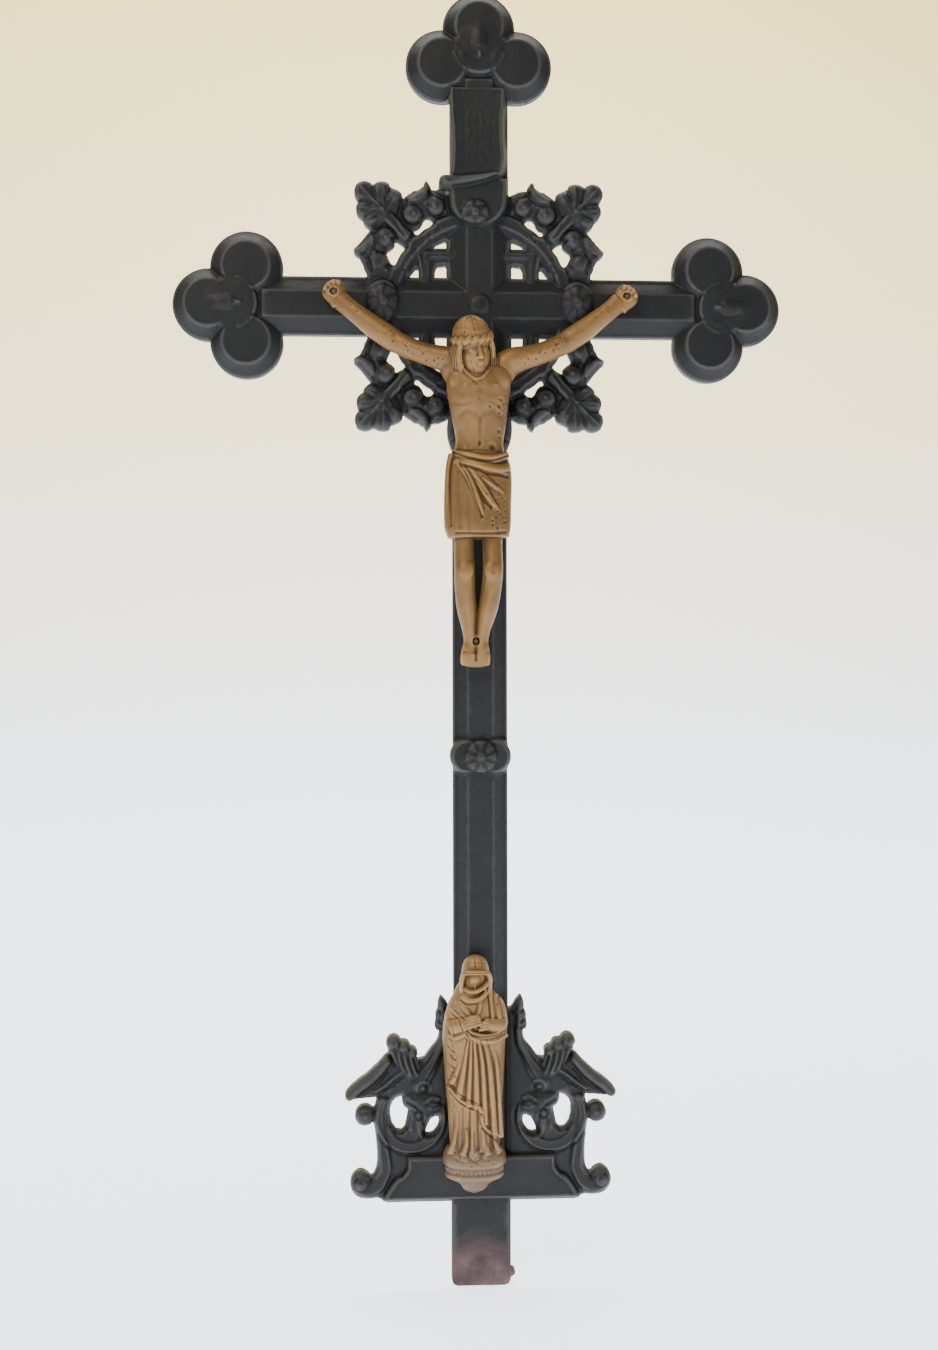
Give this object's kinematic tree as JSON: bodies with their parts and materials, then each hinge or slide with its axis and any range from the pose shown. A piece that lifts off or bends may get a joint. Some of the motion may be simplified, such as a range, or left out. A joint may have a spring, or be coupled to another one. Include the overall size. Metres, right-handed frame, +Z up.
{
  "type": "iron grave cross",
  "caption": "Cast-iron grave cross with trefoil ends, pierced ring, gilt corpus and gilt mourner, on a tang for a stone socket.",
  "frame": {"origin": "middle of the tang's foot, where the tang goes down into its socket", "axes": "+Z up along the shaft, +Y out of the flat back, -Y out of the carved front, +X to the viewer's right"},
  "size_m": [0.5622, 0.0684, 1.1936],
  "materials": {
    "black_painted_iron": "worn satin black paint over iron, bare rust on the tang",
    "corpus_gilt": "old gold-bronze paint, darker in the hollows, with rust pits",
    "statuette_gilt": "old gold-bronze paint, paler than the corpus, dirt in the folds",
    "nail_iron": "rusty, rests of gold paint"
  },
  "bodies": {
    "root": {"iron_cross": "black_painted_iron", "corpus": "corpus_gilt", "mourner_statuette": "statuette_gilt", "nail_left_hand": "nail_iron", "nail_right_hand": "nail_iron", "nail_feet": "nail_iron"}
  },
  "joints": []
}
